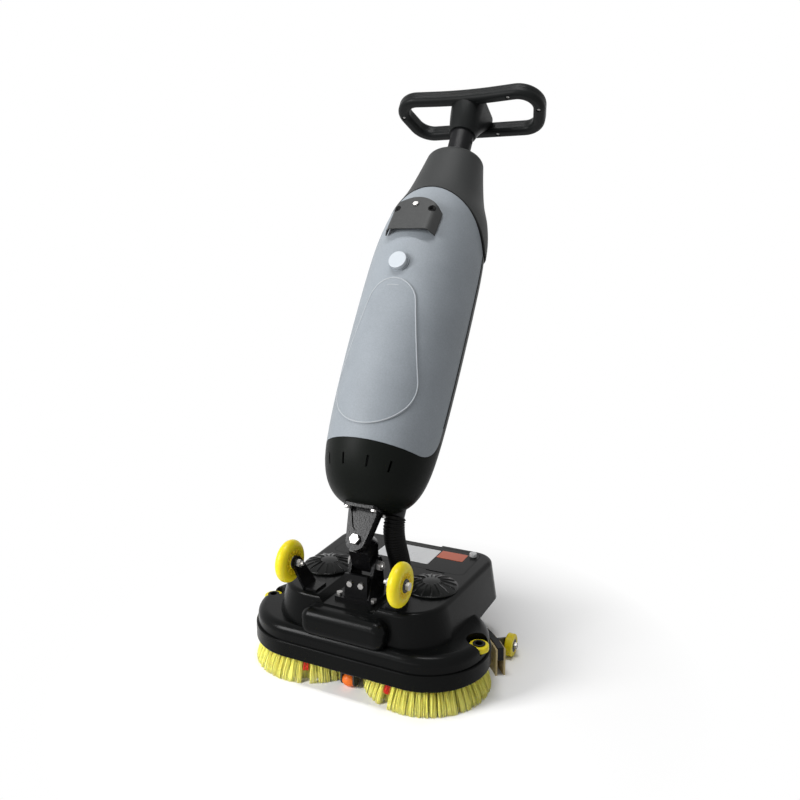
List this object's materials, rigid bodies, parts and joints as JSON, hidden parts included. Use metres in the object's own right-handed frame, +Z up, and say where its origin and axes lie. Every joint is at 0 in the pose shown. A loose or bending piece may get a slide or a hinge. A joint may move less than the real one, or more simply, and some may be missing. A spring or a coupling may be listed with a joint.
{
  "type": "wet dry floor scrubber",
  "caption": "Upright wet dry floor scrubber: brush deck with battery box and squeegee, pivoting neck, water tank body and a loop handle",
  "frame": {"origin": "middle of the bounding box's footprint, on the floor", "axes": "X to the machine's right as seen from its front, -Y is the front, +Z up"},
  "size_m": [0.4918, 0.7156, 1.1485],
  "materials": {
    "skirt_black": "satin rubber",
    "deck_black": "satin moulded plastic",
    "cover_black": "satin moulded plastic",
    "chassis_grey": "powder coat",
    "battery_grey": "moulded case",
    "board_green": "solder mask",
    "duct_black": "plain pipe",
    "bracket_black": "matte powder coat",
    "roller_orange": "moulded",
    "bolt_steel": "zinc plated",
    "squeegee_black": "moulded",
    "blade_tan": "natural rubber",
    "cast_black": "cast, satin paint",
    "hose_black": "ribbed",
    "bowl_black": "satin moulded plastic",
    "tank_grey": "satin blown plastic",
    "recovery_black": "satin moulded plastic",
    "cap_white": "fluted rim",
    "motor_case": "moulded case",
    "tube_black": "black anodised",
    "handle_black": "grained",
    "panel_black": "membrane",
    "button_grey": "moulded",
    "block_black": "moulded",
    "bristle_cream": "nylon bristle",
    "knob_white": "moulded",
    "wheel_amber": "translucent polyurethane"
  },
  "bodies": {
    "deck": {"splash_skirt": "skirt_black", "deck_housing": "deck_black", "deck_chassis": "chassis_grey", "motor_cover_left": "cover_black", "motor_cover_right": "cover_black", "gear_motor_left": "motor_case", "gear_motor_right": "motor_case", "battery_pack": "battery_grey", "control_board": "board_green", "suction_duct": "duct_black", "glide_fork": "bracket_black", "corner_pins": "deck_black", "squeegee_guides": "bolt_steel", "neck_foot": "cast_black", "foot_bolts": "bolt_steel", "pitch_bolt": "bolt_steel", "wheel_arms": "bracket_black", "wheel_axles": "bolt_steel", "hose_lower": "hose_black"},
    "battery_cover": {"battery_lid": "deck_black"},
    "glide": {"glide_roller": "roller_orange"},
    "squeegee": {"squeegee_carrier": "squeegee_black", "squeegee_blade_front": "blade_tan", "squeegee_blade_rear": "blade_tan", "squeegee_axles": "bolt_steel"},
    "knuckle": {"knuckle_block": "cast_black", "roll_bolt": "bolt_steel"},
    "upright": {"neck_casting": "cast_black", "casting_screws": "bolt_steel", "lower_bowl": "bowl_black", "front_tank": "tank_grey", "recovery_tank": "recovery_black", "top_collar": "bowl_black", "hook_bracket": "bracket_black", "bracket_screw": "bolt_steel", "vacuum_motor": "motor_case", "water_pump": "motor_case", "suction_riser": "duct_black", "hose_upper": "hose_black"},
    "filler": {"fill_cap": "cap_white"},
    "handle": {"neck_tube": "tube_black", "handle_lower_shell": "handle_black", "handle_upper_shell": "handle_black", "handle_screws": "bolt_steel", "control_panel": "panel_black"},
    "button": {"power_button": "button_grey"},
    "brush_left": {"drive_shaft_left": "bolt_steel", "brush_block_left": "block_black", "bristles_left": "bristle_cream"},
    "knob_left": {"lid_knob_left": "knob_white"},
    "transport_left": {"transport_wheel_left": "wheel_amber"},
    "corner_left": {"corner_roller_left": "wheel_amber"},
    "support_left": {"squeegee_wheel_left": "wheel_amber"},
    "brush_right": {"drive_shaft_right": "bolt_steel", "brush_block_right": "block_black", "bristles_right": "bristle_cream"},
    "knob_right": {"lid_knob_right": "knob_white"},
    "transport_right": {"transport_wheel_right": "wheel_amber"},
    "corner_right": {"corner_roller_right": "wheel_amber"},
    "support_right": {"squeegee_wheel_right": "wheel_amber"}
  },
  "joints": [
    {"name": "pitch", "type": "hinge", "parent": "deck", "child": "knuckle", "pos_m": [0, -0.23382, 0.213], "axis": [-1, 0, 0], "range_deg": [-32, 33], "deforming": ["hose_lower"]},
    {"name": "roll", "type": "hinge", "parent": "knuckle", "child": "upright", "pos_m": [0, -0.25694, 0.26282], "axis": [0, 0.848, -0.5299], "range_deg": [-30, 30], "deforming": ["hose_upper"]},
    {"name": "handle_height", "type": "slide", "parent": "upright", "child": "handle", "axis": [0, 0.5299, 0.848], "range_m": [-0.03, 0.05]},
    {"name": "filler_turn", "type": "hinge", "parent": "upright", "child": "filler", "pos_m": [0, -0.09364, 0.77041], "axis": [0, -0.848, 0.5299], "continuous": true},
    {"name": "button_press", "type": "slide", "parent": "handle", "child": "button", "axis": [0, -0.5299, -0.848], "range_m": [0, 0.0025], "stiffness_N_per_m": 600, "springref_m": -0.0005},
    {"name": "lid_swing", "type": "hinge", "parent": "deck", "child": "battery_cover", "pos_m": [0, -0.11542, 0.165], "axis": [1, 0, 0], "range_deg": [0, 40]},
    {"name": "squeegee_lift", "type": "slide", "parent": "deck", "child": "squeegee", "axis": [0, 0, 1], "range_m": [0, 0.012]},
    {"name": "glide_spin", "type": "hinge", "parent": "deck", "child": "glide", "pos_m": [0, -0.29882, 0.013], "axis": [1, 0, 0], "continuous": true},
    {"name": "brush_spin_left", "type": "hinge", "parent": "deck", "child": "brush_left", "pos_m": [-0.1195, -0.21882, 0.045], "axis": [0, 0, 1], "continuous": true},
    {"name": "knob_turn_left", "type": "hinge", "parent": "battery_cover", "child": "knob_left", "pos_m": [-0.132, -0.01482, 0.166], "axis": [0, 0, 1], "range_deg": [0, 90]},
    {"name": "transport_spin_left", "type": "hinge", "parent": "deck", "child": "transport_left", "pos_m": [-0.113, -0.31882, 0.228], "axis": [1, 0, 0], "continuous": true},
    {"name": "corner_spin_left", "type": "hinge", "parent": "deck", "child": "corner_left", "pos_m": [-0.222, -0.22082, 0.086], "axis": [0, 0, 1], "continuous": true},
    {"name": "support_spin_left", "type": "hinge", "parent": "squeegee", "child": "support_left", "pos_m": [-0.233, -0.06782, 0.022], "axis": [1, 0, 0], "continuous": true},
    {"name": "brush_spin_right", "type": "hinge", "parent": "deck", "child": "brush_right", "pos_m": [0.1195, -0.21882, 0.045], "axis": [0, 0, 1], "continuous": true},
    {"name": "knob_turn_right", "type": "hinge", "parent": "battery_cover", "child": "knob_right", "pos_m": [0.132, -0.01482, 0.166], "axis": [0, 0, 1], "range_deg": [0, 90]},
    {"name": "transport_spin_right", "type": "hinge", "parent": "deck", "child": "transport_right", "pos_m": [0.113, -0.31882, 0.228], "axis": [1, 0, 0], "continuous": true},
    {"name": "corner_spin_right", "type": "hinge", "parent": "deck", "child": "corner_right", "pos_m": [0.222, -0.22082, 0.086], "axis": [0, 0, 1], "continuous": true},
    {"name": "support_spin_right", "type": "hinge", "parent": "squeegee", "child": "support_right", "pos_m": [0.233, -0.06782, 0.022], "axis": [1, 0, 0], "continuous": true}
  ]
}
